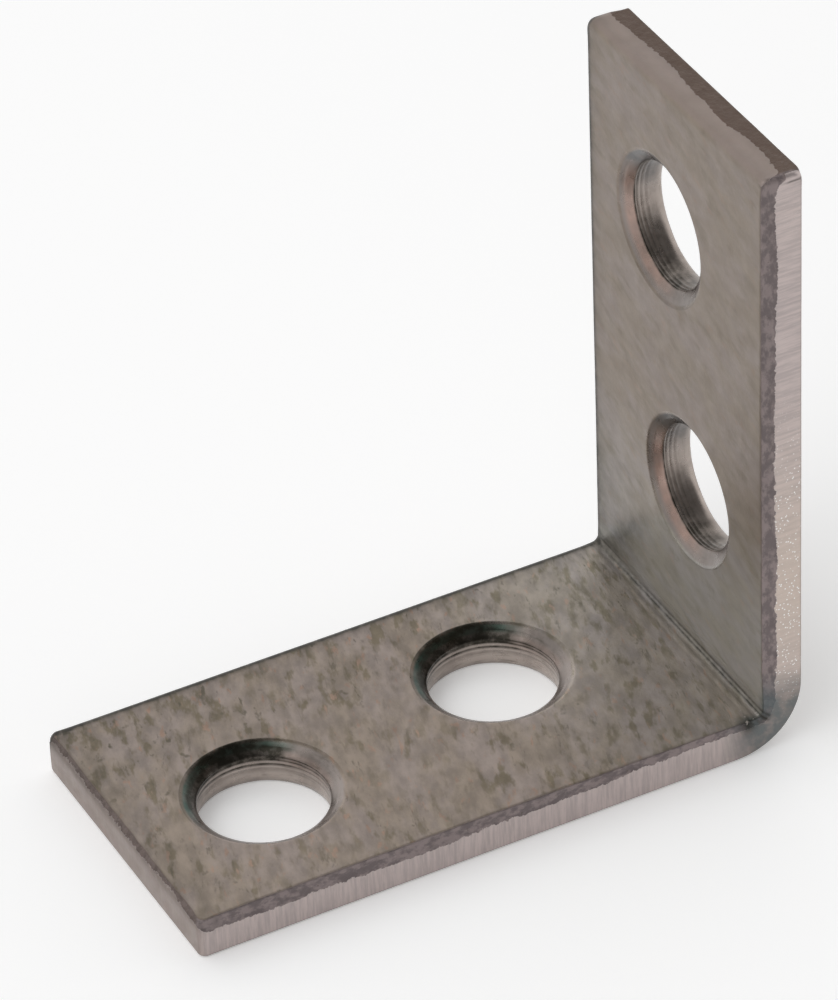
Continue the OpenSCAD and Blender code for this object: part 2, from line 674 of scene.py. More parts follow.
@dataclass(frozen=True)
class Cut:
    """How one side of the blank was cut. Lengths in millimetres, shares from 0 to 1.

    torn is the torn band's depth, lean how far it leans back and ragged how far its limit
    strays. roll is the radius rolled over on the other side. bare is how bright the sheared
    band is, with 0 for the faces' tone. dirt darkens the torn band, and shade paints a dark
    reflection on the rolled corner. inner is 1 where the inner side of the sheet is the torn one.
    """

    torn: float
    lean: float
    ragged: float
    roll: float
    bare: float
    dirt: float
    shade: float
    inner: float

    def row(self) -> Array:
        """The values in order, to be blended round a corner."""
        return np.array(astuple(self))


# in the outline's order: +Y side, upright's end, -Y side, base leg's end
CUTS = (
    Cut(torn=0.53, lean=0.16, ragged=0.05, roll=0.12, bare=1.0, dirt=0.0, shade=0.0, inner=1.0),
    Cut(torn=0.70, lean=0.03, ragged=0.12, roll=0.34, bare=0.0, dirt=0.12, shade=0.0, inner=0.0),
    Cut(torn=0.58, lean=0.17, ragged=0.04, roll=0.30, bare=0.0, dirt=0.3, shade=0.85, inner=0.0),
    Cut(torn=0.20, lean=0.16, ragged=0.05, roll=0.12, bare=0.16, dirt=0.14, shade=0.0, inner=1.0),
)


@dataclass(frozen=True)
class CutEdge:
    """Section of the blanked edge: a torn band, a sheared band and a rolled corner.

    The section is measured from the torn side of the sheet: inset is how far a point stands
    back from the outline, and drop is how far it lies below the torn side's face. Lengths in
    millimetres. rim_drop is where the torn band starts, pits is how deep its pits are, and
    clear keeps every point a little inside the outline.
    """

    strip: Strip
    face_insets: tuple[float, ...] = (0.95, 0.7, 0.5)
    torn_rows: int = 8
    sheared_rows: int = 5
    roll_rows: int = 7
    rim_drop: float = 0.03
    pits: float = 0.022
    clear: float = 0.002

    def section(self, where: Array, forms: Array) -> dict[str, Array]:
        """The section and its marks at each place along the edge.

        The torn band leans back less in the fold. Its rim and its limit both waver by grain of
        several sizes. The sheared band is straight, and the rolled corner is a quarter circle.

        Args:
            where: outline points (station, across, 0), shape (n, 3).
            forms: the values of Cut.row at each place, shape (n, 8).

        Returns:
            "inset", "drop", "cut", "torn", "bare" and the mark of grime and painted shade, each
            of shape (n, rows).
        """
        thickness = self.strip.thickness
        torn, lean, ragged, roll, bare, dirt, shade, _ = forms.T
        bend = self.strip.bend(where[:, 0])
        upright = self.strip.upright(where[:, 0])
        slow, quick, fine = Grain(11, 2.6), Grain(12, 0.55), Grain(13, 0.22)
        lean = lean * (1 + 0.10 * slow.at(where) + 0.10 * quick.at(where)) * (1 - 0.65 * bend)
        aside = where + 40
        torn = torn + ragged * (slow.at(aside) + 0.6 * quick.at(aside) + 0.35 * fine.at(aside))
        bare = bare * (0.88 + 0.12 * upright) * (1 - 0.75 * bend)
        # each row holds inset, drop, distance past the tear, and the marks torn, bare, and grime
        # and painted shade
        rows: list[tuple[Array | float, ...]] = []
        for back in (*self.face_insets, lean + 0.13):
            rows.append((back, 0.0, 0.0, 0.0, 0.0, 0.0))
        rows.append((lean + 0.04, 0.2 * self.rim_drop, 0.0, 0.0, 0.0, 0.15))
        rows.append((lean, self.rim_drop, self.rim_drop - torn, 1.0, bare, dirt))
        rough = Grain(14, 0.17, 2)
        for share in np.arange(1, self.torn_rows + 1) / self.torn_rows:
            low = self.rim_drop + (torn - self.rim_drop) * share
            pits = self.pits * rough.at(where + low[:, None] * np.array([0.0, 0.0, 1.0]))
            inset = lean * (1 - share) ** 0.8 + 0.006 + pits * math.sin(math.pi * min(share, 0.9))
            rows.append((np.maximum(inset, 0.003), low, low - torn, 1.0, bare, dirt))
        for share in np.arange(1, self.sheared_rows + 1) / self.sheared_rows:
            low = torn + (thickness - roll - torn) * share
            rows.append((self.clear, low, low - torn, 1.0, bare, dirt * max(0.0, 1 - 3 * share)))
        for share in np.arange(1, self.roll_rows + 1) / self.roll_rows:
            angle = math.pi / 2 * share
            low = thickness - roll * (1 - math.sin(angle))
            keep = max(0.0, 1 - 1.4 * share)
            # painted dark reflection on the rolled corner, as strong as shade says
            dark = shade * math.sin(math.pi * min(1.0, 0.25 + 0.75 * share))
            inset = roll * (1 - math.cos(angle)) + self.clear
            rows.append((inset, low, low - torn, keep, bare * keep, dark))
        for back in (roll + 0.1, *reversed(self.face_insets)):
            rows.append((back, thickness, 1.0, 0.0, 0.0, 0.0))
        names = ("inset", "drop", "cut", "torn", "bare", "soil")
        return {
            name: np.stack([np.broadcast_to(value, len(where)) for value in column], axis=1)
            for name, column in zip(names, zip(*rows))
        }


@dataclass(frozen=True)
class PaintedLightPatch:
    """A patch of painted light on one side of a hole's wall: painted shade, a painted cool
    reflection, or a painted warm highlight, by its mark.

    towards is the side, as (station, across). The patch starts where the cosine of the angle
    from that side passes the first of spread, and is full from the second on. It fades in over
    the first two depths, in millimetres below the inner side, and out over the last two.
    """

    mark: str
    towards: tuple[float, float]
    spread: tuple[float, float]
    depths: tuple[float, float, float, float]
    strength: float

    def at(self, ray: Array, drop: Array) -> Array:
        """Strength of the patch.

        Args:
            ray: directions from the hole's centre, shape (n, 2).
            drop: depths of the wall's rows, shape (rows,).

        Returns:
            Strengths, shape (n, rows).
        """
        side = np.array(self.towards) / math.hypot(*self.towards)
        first, full = self.spread
        round_it = ease((ray @ side - first) / (full - first))
        a, b, c, d = self.depths
        down = ease((drop - a) / (b - a)) * (1.0 - ease((drop - c) / (d - c)))
        return self.strength * round_it[:, None] * down[None, :]


# painted light in the base leg's holes: a dark teal reflection and shade on the -Y side, and a warm
# highlight on the side towards the fold
BASE_PAINTED_LIGHT = (
    PaintedLightPatch("cool", (-0.40, -0.92), (0.15, 0.65), (-0.1, 0.0, 0.17, 0.26), 1.0),
    PaintedLightPatch("soil", (-0.30, -0.95), (0.35, 0.75), (0.12, 0.19, 0.50, 0.60), 0.95),
    PaintedLightPatch("soil", (-0.60, -0.80), (0.10, 0.80), (-0.1, 0.0, 0.20, 0.30), 0.50),
    PaintedLightPatch("soil", (0.50, -0.87), (0.10, 0.70), (-0.1, 0.0, 0.55, 0.75), 0.42),
    PaintedLightPatch("soil", (-0.10, -1.0), (0.20, 0.80), (0.68, 0.73, 0.80, 0.88), 0.60),
    PaintedLightPatch("soil", (0.10, -1.0), (0.20, 0.80), (0.98, 1.02, 1.06, 1.14), 0.35),
    PaintedLightPatch("warm", (0.95, -0.30), (0.75, 0.95), (0.2, 0.3, 0.6, 0.9), 0.4),
)
# painted light in the upright's holes: a cool reflection towards the top, a warm highlight low on
# the -Y side, and shade towards the bottom
UPRIGHT_PAINTED_LIGHT = (
    PaintedLightPatch("cool", (1.0, -0.15), (0.50, 0.85), (-0.1, 0.0, 0.40, 0.46), 1.0),
    PaintedLightPatch("cool", (0.85, -0.52), (0.30, 0.85), (0.40, 0.46, 1.30, 1.60), 0.8),
    PaintedLightPatch("warm", (-0.55, -0.84), (0.20, 0.80), (0.10, 0.22, 0.38, 0.44), 1.0),
    PaintedLightPatch("soil", (-0.90, -0.44), (0.30, 0.86), (0.42, 0.50, 1.20, 1.55), 0.46),
    PaintedLightPatch("soil", (-0.75, -0.66), (0.30, 0.70), (0.37, 0.40, 0.43, 0.48), 0.85),
    PaintedLightPatch("soil", (-0.98, 0.10), (0.20, 0.80), (-0.1, 0.0, 0.38, 0.42), 0.26),
    PaintedLightPatch("soil", (-1.0, 0.2), (0.60, 0.95), (0.42, 0.50, 1.50, 1.70), 0.30),
)


# rows of a hole's wall, from the inner rim to the outer rim: how far the radius is from the
# countersink's or from the bore's, the drop below the inner side, and how dark the row is
# painted, which is painted shade in the wall's grooves and on the cone below its step
CONE_ROWS = (
    (0.030, 0.002, 0.0), (-0.015, 0.012, 0.0), (-0.075, 0.042, 0.0), (-0.15, 0.088, 0.0),
    (-0.24, 0.148, 0.0), (-0.28, 0.170, 0.05), (-0.31, 0.186, 0.1), (-0.34, 0.210, 0.1),
    (-0.40, 0.250, 0.1), (-0.46, 0.300, 0.1), (-0.52, 0.350, 0.1),
)
BORE_ROWS = (
    (0.020, 0.390, 0.15), (0.004, 0.420, 0.5), (0.022, 0.460, 0.1), (0.026, 0.510, 0.0),
    (0.004, 0.560, 0.5), (0.022, 0.610, 0.1), (0.026, 0.680, 0.0), (0.004, 0.740, 0.5),
    (0.020, 0.800, 0.1), (0.022, 0.880, 0.0), (0.006, 0.940, 0.35), (0.014, 1.010, 0.0),
    (0.010, 1.160, 0.0), (0.010, 1.300, 0.0), (0.030, 1.420, 0.1), (0.080, 1.540, 0.2),
    (0.120, 1.620, 0.1),
)
# drops below the inner side, and how far the wall strays from its circle there
WOBBLE = ((0.0, 0.1, 0.45, 0.8, 1.3, 1.65), (0.004, 0.006, 0.012, 0.012, 0.02, 0.025))


@dataclass(frozen=True)
class ScrewHole:
    """One punched and countersunk hole. Station and across are its centre on the blank.

    ringed is how strong the wall's dark rings are, painted shade in its grooves and on the
    cone below its step, and its patches are painted light and shade. half_cell is half the
    length of the cell of face round it, face_shares are the places of that face's rings between
    the hole and the cell's rim, and rim_gaps the steps from the wall to the first ring, inside
    and outside.
    """

    station: float
    across: float
    bore_r: float
    seed: int
    light_patches: tuple[PaintedLightPatch, ...]
    ringed: float
    sink_r: float = 3.05
    half_cell: float = 4.15
    rim_gaps: tuple[float, float] = (0.03, 0.035)
    face_shares: tuple[float, ...] = (0.0, 0.03, 0.08, 0.16, 0.27, 0.4, 0.55, 0.72, 0.87)

    def wall(self) -> tuple[Array, Array, Array]:
        """Section of the wall from the inner rim to the outer rim.

        A countersunk cone with a faint step, a punched bore with dark rings of painted shade in
        the grooves at its top, and the flare where the punch breaks out.

        Returns:
            Radius, drop below the inner side, and how dark each place is painted with shade.
        """
        rows = [(self.sink_r + out, drop, dark) for out, drop, dark in CONE_ROWS]
        rows += [(self.bore_r + out, drop, dark) for out, drop, dark in BORE_ROWS]
        return tuple(np.array(column) for column in zip(*rows))

    def marks(self, ray: Array, drop: Array, dark: Array) -> dict[str, Array]:
        """The wall's marks: its rows' painted shade and every patch of painted light.

        Args:
            ray: directions from the hole's centre, shape (n, 2).
            drop: depths of the wall's rows, shape (rows,).
            dark: darkness of the wall's rows, shape (rows,), which ringed makes fainter.

        Returns:
            The grime and shade mark, the cool reflection mark and the warm highlight mark, each of
            shape (n, rows).
        """
        made = {name: np.zeros((len(ray), len(drop))) for name in ("soil", "cool", "warm")}
        made["soil"] += self.ringed * dark[None, :]
        for light_patch in self.light_patches:
            made[light_patch.mark] += light_patch.at(ray, drop)
        return made


@dataclass(frozen=True)
class FaceGrids:
    """The grids of both faces, with a row for each cross line of the blank.

    along holds the cross lines' stations and across the long lines' places. inner and outer
    hold the vertices' numbers in the skin.
    """

    along: Array
    across: Array
    inner: Array
    outer: Array


@dataclass
class Bracket:
    """The whole bracket: builds the blank's patches, folds them, and dresses the surface.

    Lengths in millimetres. margin is how far the faces' grid stops short of the outline, and
    step and fold_step are its spacing. narrow_torn and narrow_lean are the shares by which the
    torn band's depth and lean shrink where it is narrowest. stray is how far that band's limit
    strays at the corners, for each millimetre of raggedness.
    """

    strip: Strip
    holes: list[ScrewHole]
    corner_radii: tuple[float, float, float, float] = (0.3, 0.25, 0.5, 0.35)
    margin: float = 1.2
    step: float = 0.2
    fold_step: float = 0.085
    narrow_torn: float = 0.42
    narrow_lean: float = 0.45
    stray: float = 2.2

    def lines(self, start: float, end: float, step: float) -> Array:
        """Evenly spaced places from start to end, no further apart than step."""
        return np.linspace(start, end, math.ceil((end - start) / step - 1e-9) + 1)

    def stations(self) -> Array:
        """Stations of the blank's cross lines: even on the legs and closer over the fold.

        Returns:
            Stations in order, from margin to margin.
        """
        cuts = [self.margin]
        for hole in self.holes:
            cuts += [hole.station - hole.half_cell, hole.station + hole.half_cell]
        cuts.append(self.strip.length - self.margin)
        cuts = sorted(cuts)
        near = (self.strip.fold_start - 0.7, self.strip.fold_end + 0.7)
        made: list[Array] = []
        for start, end in zip(cuts[:-1], cuts[1:]):
            if end - start < 1e-6:
                continue
            if start < near[0] < end:
                pieces = [(start, near[0], self.step), (near[0], near[1], self.fold_step)]
                pieces.append((near[1], end, self.step))
            else:
                pieces = [(start, end, self.step)]
            made += [self.lines(*piece)[:-1] for piece in pieces]
        return np.concatenate(made + [np.array([cuts[-1]])])

    def build(self, name: str) -> bpy.types.Object:
        """Builds the bracket's mesh.

        Args:
            name: the object's name.

        Returns:
            The object, closed and with its faces pointing outwards.
        """
        skin = Skin()
        relief = Relief(self.strip)
        half = self.strip.width / 2 - self.margin
        along = self.stations()
        across = self.lines(-half, half, self.step)
        w, y = np.meshgrid(along, across, indexing="ij")
        inner = skin.add(np.stack([w, y, relief.inner(w, y)], axis=-1))
        outer = skin.add(np.stack([w, y, relief.outer(w, y)], axis=-1))
        grids = FaceGrids(along, across, inner, outer)
        plain = np.ones(len(along) - 1, dtype=bool)
        for hole in self.holes:
            ends = (hole.station - hole.half_cell, hole.station + hole.half_cell)
            first, last = (int(np.argmin(np.abs(along - end))) for end in ends)
            plain[first:last] = False
            self.punch(skin, relief, hole, grids, slice(first, last + 1))
        for grid in (inner, outer):
            for row in np.flatnonzero(plain):
                skin.weave(grid[row : row + 2], np.array(Finish.FACE.value))
        self.trim(skin, relief, grids)
        return skin.make(name, self.strip)

    def rim_of_cell(self, grid: Array) -> Array:
        """Vertex numbers round the rim of a rectangular grid, in order, without repeats."""
        return np.concatenate([grid[:-1, 0], grid[-1, :-1], grid[:0:-1, -1], grid[0, :0:-1]])

    def punch(
        self, skin: Skin, relief: Relief, hole: ScrewHole, grids: FaceGrids, rows: slice
    ) -> None:
        """Fills the cell round one hole: two rings of face and the hole's wall between them.

        Rays run from the cell's rim towards the hole's centre and stop on the hole's circle.

        Args:
            skin: the mesh being gathered.
            relief: heights of the two faces.
            hole: the hole.
            grids: the faces' grids.
            rows: the cell's cross lines.
        """
        ws, ys = np.meshgrid(grids.along[rows], grids.across, indexing="ij")
        rim_w, rim_y = self.rim_of_cell(ws), self.rim_of_cell(ys)
        angle = np.arctan2(rim_y - hole.across, rim_w - hole.station)
        ray = np.stack([np.cos(angle), np.sin(angle)], axis=-1)
        radius, drop, dark = hole.wall()
        circle = radius[None, :] + self.wobble(hole, ray, radius, drop)
        wall_w = hole.station + ray[:, :1] * circle
        wall_y = hole.across + ray[:, 1:] * circle
        top = relief.inner(wall_w, wall_y)
        depth = top - drop[None, :] * (top / self.strip.thickness)
        wall = skin.add(np.stack([wall_w, wall_y, depth], axis=-1), **hole.marks(ray, drop, dark))
        shares = np.array(hole.face_shares)
        ends = []
        sides = ((grids.inner, 0, relief.inner), (grids.outer, -1, relief.outer))
        for (grid, edge, surface), gap in zip(sides, hole.rim_gaps):
            near = circle[:, edge, None] + gap
            from_w = hole.station + ray[:, :1] * near
            from_y = hole.across + ray[:, 1:] * near
            ring_w = from_w + (rim_w[:, None] - from_w) * shares
            ring_y = from_y + (rim_y[:, None] - from_y) * shares
            ring = skin.add(np.stack([ring_w, ring_y, surface(ring_w, ring_y)], axis=-1))
            ends.append(np.concatenate([ring, self.rim_of_cell(grid[rows])[:, None]], axis=1))
        columns = np.concatenate([ends[0][:, ::-1], wall, ends[1]], axis=1)
        plain = [Finish.FACE.value] * (len(shares) + 1)
        bands = np.array(plain + [Finish.BORE.value] * (len(radius) - 1) + plain)
        skin.weave(np.concatenate([columns, columns[:1]]), bands[None, :])

    def wobble(self, hole: ScrewHole, ray: Array, radius: Array, drop: Array) -> Array:
        """How far the hole's wall stands off its true circle, by grain that follows the wall.

        Args:
            hole: the hole.
            ray: directions from the hole's centre, shape (n, 2).
            radius: radii of the wall's rows, shape (rows,).
            drop: depths of the wall's rows, shape (rows,).

        Returns:
            Distances in millimetres, shape (n, rows).
        """
        place = np.stack(
            [
                ray[:, :1] * radius[None, :] + 50 * hole.seed,
                ray[:, 1:] * radius[None, :],
                np.broadcast_to(drop * 2.0, (len(ray), len(drop))),
            ],
            axis=-1,
        )
        return np.interp(drop, *WOBBLE)[None, :] * Grain(21 + hole.seed, 0.9, 3).at(place)

    def outline(self, grids: FaceGrids) -> dict[str, Array]:
        """The blank's outline as one closed loop of places, with what each one stands beside.

        Sides take a place at each line of the faces' grid and one between two lines that are
        far apart. Corners are a straight run, a quarter circle and a straight run.

        Args:
            grids: the faces' grids.

        Returns:
            Arrays with one row for each place: point and foot (station, across), the inner
            and outer owners' vertex numbers, and the values of Cut.row.
        """
        length, half = self.strip.length, self.strip.width / 2
        m, core = self.margin, half - self.margin
        along, across, inner, outer = grids.along, grids.across, grids.inner, grids.outer
        edge = [
            (along, inner[:, -1], outer[:, -1],
             lambda t: (t, half + 0 * t), lambda t: (t, core + 0 * t)),
            (across[::-1], inner[-1, ::-1], outer[-1, ::-1],
             lambda t: (length + 0 * t, t), lambda t: (length - m + 0 * t, t)),
            (along[::-1], inner[::-1, 0], outer[::-1, 0],
             lambda t: (t, -half + 0 * t), lambda t: (t, -core + 0 * t)),
            (across, inner[0, :], outer[0, :],
             lambda t: (0 * t, t), lambda t: (m + 0 * t, t)),
        ]
        turns = [(1, 0), (0, -1), (-1, 0), (0, 1)]
        parts: list[tuple[Array, ...]] = []
        for number, (places, own_in, own_out, rim, foot) in enumerate(edge):
            extra = np.abs(np.diff(places)) > 0.15
            t = np.concatenate([places, (places[:-1] + places[1:])[extra] / 2])
            who = np.concatenate([np.arange(len(places)), np.flatnonzero(extra)])
            order = np.argsort(t if places[-1] > places[0] else -t, kind="stable")
            t, who = t[order], who[order]
            cut = CUTS[number].row()
            form = np.broadcast_to(cut, (len(t), len(cut)))
            point, below = np.stack(rim(t), -1), np.stack(foot(t), -1)
            parts.append((point, below, own_in[who], own_out[who], form))
            ahead = np.array(turns[number], float)
            inward = np.array(turns[(number + 1) % 4], float)
            radius = self.corner_radii[(number + 1) % 4]
            run = self.corner_run(point[-1] + ahead * m, ahead, inward, radius)
            share = ease(((np.arange(len(run)) + 0.5) / len(run) - 0.32) / 0.36)[:, None]
            turning = cut + (CUTS[(number + 1) % 4].row() - cut) * share
            ones = np.ones(len(run), dtype=np.int64)
            there = np.broadcast_to(below[-1], run.shape)
            parts.append((run, there, ones * own_in[who[-1]], ones * own_out[who[-1]], turning))
        joined = [np.concatenate(column) for column in zip(*parts)]
        return dict(zip(("point", "foot", "inner", "outer", "form"), joined))

    def corner_run(self, corner: Array, ahead: Array, inward: Array, radius: float) -> Array:
        """Places round one corner of the outline, without the two ends that the sides have.

        Args:
            corner: the sharp corner's place.
            ahead: direction in which the loop reaches the corner.
            inward: direction in which it leaves.
            radius: radius of the quarter circle.

        Returns:
            Places in order, shape (n, 2).
        """
        count = math.ceil((self.margin - radius) / 0.07)
        before = np.linspace(self.margin, radius, count + 1)[:, None]
        count = max(6, math.ceil(radius * math.pi / 2 / 0.06))
        angle = np.linspace(0.0, math.pi / 2, count + 1)[:, None]
        centre = corner - ahead * radius + inward * radius
        arc = centre + radius * (ahead * np.sin(angle) - inward * np.cos(angle))
        start = corner - ahead * before[1:-1]
        end = corner + inward * before[::-1][1:-1]
        return np.concatenate([start, arc, end])

    def past_tear(self, form: Array, drop: Array) -> Array:
        """Distance past the torn band, whose two limits cross the sheet where the sides turn over.

        Args:
            form: the values of Cut.row, shape (n, 8).
            drop: share of the way from the inner side to the outer one, shape (n, rows).

        Returns:
            Millimetres, negative inside the torn band, shape (n, rows).
        """
        thickness = self.strip.thickness
        torn, out = form[:, :1], 1 - form[:, -1:]
        where = np.arange(len(form))[:, None] * np.array([0.1, 0.0, 0.0])
        stray = form[:, 2:3] * Grain(15, 2.2, 4).at(where)[:, None] * self.stray
        beyond = 0.6
        first = -beyond + (thickness - torn + beyond) * out - stray * out
        last = torn + (thickness + beyond - torn) * out + stray * (1 - out)
        down = drop * thickness
        return np.maximum(first - down, down - last)

    def narrowing(self, station: Array) -> Array:
        """Where the torn band is narrower: it shrinks towards the fold on the base leg alone."""
        near_fold = ease((station - self.strip.fold_start + 14.0) / 12.0)
        return near_fold * (1.0 - self.strip.upright(station))

    def turn_lip(self, w: Array, y: Array, made: dict[str, Array]) -> None:
        """Marks the small bright lip that the blade turned at the upright's +Y corner.

        Its facet is bare zinc, and a dark line parts it from the edge below. Both lie on the
        outer part of the sheet.

        Args:
            w: stations of the section's points, shape (n, rows).
            y: their places across the strip.
            made: the section and its marks, which this changes.
        """
        below = self.strip.length - w
        outer = ease((made["drop"] - 0.55) / 0.06) * ease((y - self.strip.width / 2 + 0.22) / 0.05)
        facet = outer * ease((0.27 - below) / 0.03) * ease((below - 0.015) / 0.02)
        line = outer * bell(below - 0.31, 0.035)
        made["cut"] += (0.5 - made["cut"]) * facet
        made["torn"] *= 1 - facet
        made["bare"] += (1.5 - made["bare"]) * facet
        made["soil"] += (0.0 - made["soil"]) * facet + 0.8 * line

    def trim(self, skin: Skin, relief: Relief, grids: FaceGrids) -> None:
        """Carries the cut edge's section round the outline and joins it to both faces.

        The section runs from the inner side to the outer side. Where the outer side is the
        torn one it is turned over, and round a corner the two are blended.

        Args:
            skin: the mesh being gathered.
            relief: heights of the two faces.
            grids: the faces' grids.
        """
        loop = self.outline(grids)
        point, form = loop["point"], loop["form"].copy()
        narrow = self.narrowing(point[:, 0])
        form[:, 0] *= 1 - self.narrow_torn * narrow
        form[:, 1] *= 1 - self.narrow_lean * narrow
        back = loop["foot"] - point
        back = back / np.linalg.norm(back, axis=1, keepdims=True)
        where = np.concatenate([point, np.zeros((len(point), 1))], axis=1)
        section = CutEdge(self.strip).section(where, form)
        way = form[:, -1:]
        section["drop"] = section["drop"] / self.strip.thickness
        turned = {name: value[:, ::-1] for name, value in section.items()}
        turned["drop"] = 1 - turned["drop"]
        made = {name: value * way + turned[name] * (1 - way) for name, value in section.items()}
        w = point[:, :1] + back[:, :1] * made["inset"]
        y = point[:, 1:] + back[:, 1:] * made["inset"]
        low, high = relief.outer(w, y), relief.inner(w, y)
        depth = high + (low - high) * made["drop"]
        made["cut"] = self.past_tear(form, made["drop"])
        self.turn_lip(w, y, made)
        marks = {name: made[name] for name in ("cut", "torn", "bare", "soil")}
        columns = skin.add(np.stack([w, y, depth], axis=-1), **marks)
        skin.weave(np.concatenate([columns, columns[:1]]), np.array(Finish.CUT.value))
        skin.fringe(loop["inner"], columns[:, 0], Finish.FACE)
        skin.fringe(loop["outer"], columns[:, -1], Finish.FACE)


# ---------------------------------------------------------------- finishes


@dataclass(frozen=True)
class Pattern:
    """A noise pattern on the flat blank, and the range in which it is read.

    scale is in patches per millimetre. stretch makes them longer along each axis, after a turn
    by lean about the sheet's normal. The value eases from low to high as the noise passes from
    the first of edges to the second.
    """

    scale: float
    detail: float = 2.0
    rough: float = 0.5
    warp: float = 0.0
    stretch: tuple[float, float, float] | None = None
    lean: float = 0.0
    edges: tuple[float, float] | None = None
    low: float = 0.0
    high: float = 1.0


class Wiring:
    """A node tree being wired: adds nodes, sets their sockets and joins them."""

    def __init__(self, tree: bpy.types.NodeTree) -> None:
        """Keeps the tree and starts from an empty one."""
        self.tree = tree
        tree.nodes.clear()

    def add(
        self, kind: str, inputs: dict[Any, Any] | None = None, **settings: Any
    ) -> bpy.types.Node:
        """Adds a node.

        Args:
            kind: the node's type, without its ShaderNode prefix.
            inputs: socket names or numbers, each with a value or the socket to join. A colour
                of three numbers gets an alpha of 1.
            settings: the node's own properties.

        Returns:
            The node.
        """
        full = kind if kind.startswith("Node") else "ShaderNode" + kind
        node = self.tree.nodes.new(full)
        for key, value in settings.items():
            setattr(node, key, value)
        for key, value in (inputs or {}).items():
            socket = node.inputs[key]
            if isinstance(value, Socket):
                self.tree.links.new(value, socket)
            else:
                opaque = socket.type == "RGBA" and len(value) == 3
                socket.default_value = (*value, 1.0) if opaque else value
        return node

    def mark(self, name: str) -> Socket:
        """Socket of one of the mesh's marks."""
        return self.add("Attribute", attribute_name=name).outputs["Fac"]

    def mix(self, share: Any, first: Any, second: Any, blend: str = "MIX") -> Socket:
        """Mixes two colours by a share, and gives the result's socket."""
        node = self.add("Mix", {0: share, 6: first, 7: second}, data_type="RGBA", blend_type=blend)
        return node.outputs[2]

    def math(self, operation: str, first: Any, second: Any = 0.0) -> Socket:
        """Does sums on values, and gives the result's socket."""
        return self.add("Math", {0: first, 1: second}, operation=operation).outputs[0]

    def times(self, first: Any, *others: Any) -> Socket:
        """Product of values.

        Args:
            first: a value or a socket.
            others: more of them.

        Returns:
            The result's socket.
        """
        for other in others:
            first = self.math("MULTIPLY", first, other)
        return first

    def plus(self, first: Any, *others: Any) -> Socket:
        """Sum of values.

        Args:
            first: a value or a socket.
            others: more of them.

        Returns:
            The result's socket.
        """
        for other in others:
            first = self.math("ADD", first, other)
        return first

    def ramp(
        self, value: Any, start: float, end: float, low: float = 0.0, high: float = 1.0
    ) -> Socket:
        """Maps a value smoothly from one range to another, held at both ends."""
        inputs = {0: value, 1: start, 2: end, 3: low, 4: high}
        return self.add("MapRange", inputs, interpolation_type="SMOOTHSTEP").outputs[0]

    def pattern(self, pattern: Pattern, place: Socket) -> Socket:
        """Wires a pattern: its stretch, its noise and its range.

        Args:
            pattern: the pattern.
            place: socket of a place on the blank.

        Returns:
            The value's socket.
        """
        if pattern.stretch:
            inputs = {"Vector": place, "Scale": pattern.stretch}
            inputs["Rotation"] = (0.0, 0.0, pattern.lean)
            place = self.add("Mapping", inputs, vector_type="TEXTURE").outputs[0]
        inputs = {"Vector": place, "Scale": pattern.scale, "Detail": pattern.detail}
        inputs |= {"Roughness": pattern.rough, "Distortion": pattern.warp}
        value = self.add("TexNoise", inputs).outputs["Fac"]
        if pattern.edges:
            value = self.ramp(value, *pattern.edges, pattern.low, pattern.high)
        return value


VALUE = "NodeSocketFloat"
COLOUR = "NodeSocketColor"
VECTOR = "NodeSocketVector"


@dataclass(frozen=True)
class SharedGroup:
    """A node group that several finishes share, wired on its first use and found by name later.

    inputs holds each input's name and its kind of socket. The one output has the name and the
    kind that result and result_kind say.
    """

    name: str
    inputs: tuple[tuple[str, str], ...]
    result: str
    result_kind: str

    def wire(self, wires: Wiring, given: bpy.types.NodeOutputs) -> Socket:
        """Wires the group from its inputs, and gives the result's socket."""
        raise NotImplementedError

    def tree(self) -> bpy.types.NodeTree:
        """Wires the group, or finds it.

        Returns:
            The group's tree.
        """
        found = bpy.data.node_groups.get(self.name)
        if found:
            return found
        tree = bpy.data.node_groups.new(self.name, "ShaderNodeTree")
        for label, kind in self.inputs:
            tree.interface.new_socket(label, in_out="INPUT", socket_type=kind)
        tree.interface.new_socket(self.result, in_out="OUTPUT", socket_type=self.result_kind)
        wires = Wiring(tree)
        given = wires.add("NodeGroupInput").outputs
        wires.add("NodeGroupOutput", {self.result: self.wire(wires, given)})
        return tree

    def use(self, wires: Wiring, values: dict[str, Any]) -> Socket:
        """Places the group in a material.

        Args:
            wires: the material's wiring.
            values: a value or a socket for each input.

        Returns:
            The result's socket.
        """
        return wires.add("Group", values, node_tree=self.tree()).outputs[0]


LEAN = 0.30
STROKE = (1.0, 2.8, 1.0)


